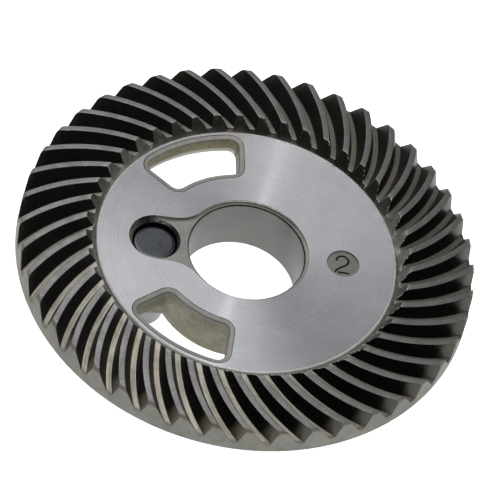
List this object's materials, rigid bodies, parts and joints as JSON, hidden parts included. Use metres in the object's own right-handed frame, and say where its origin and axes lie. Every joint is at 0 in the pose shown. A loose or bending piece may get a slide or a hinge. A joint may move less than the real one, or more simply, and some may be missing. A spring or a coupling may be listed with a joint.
{
  "type": "spiral bevel crank gear",
  "caption": "Spiral bevel crown gear with a ground flat face, a bored hub, lightening windows and an off-centre crank pin pressed through a keyhole recess.",
  "frame": {"origin": "on the bore's axis, in the plane of the rim's back", "axes": "+Z along the bore towards the toothed side, +X from the crank pin towards the number spot"},
  "size_m": [0.0786, 0.0786, 0.0224],
  "materials": {
    "gear_steel": "ground face, blackened tooth flanks",
    "pin_steel": "blackened front end, ground free end"
  },
  "bodies": {
    "root": {"crown_gear": "gear_steel", "crank_pin": "pin_steel"}
  },
  "joints": []
}
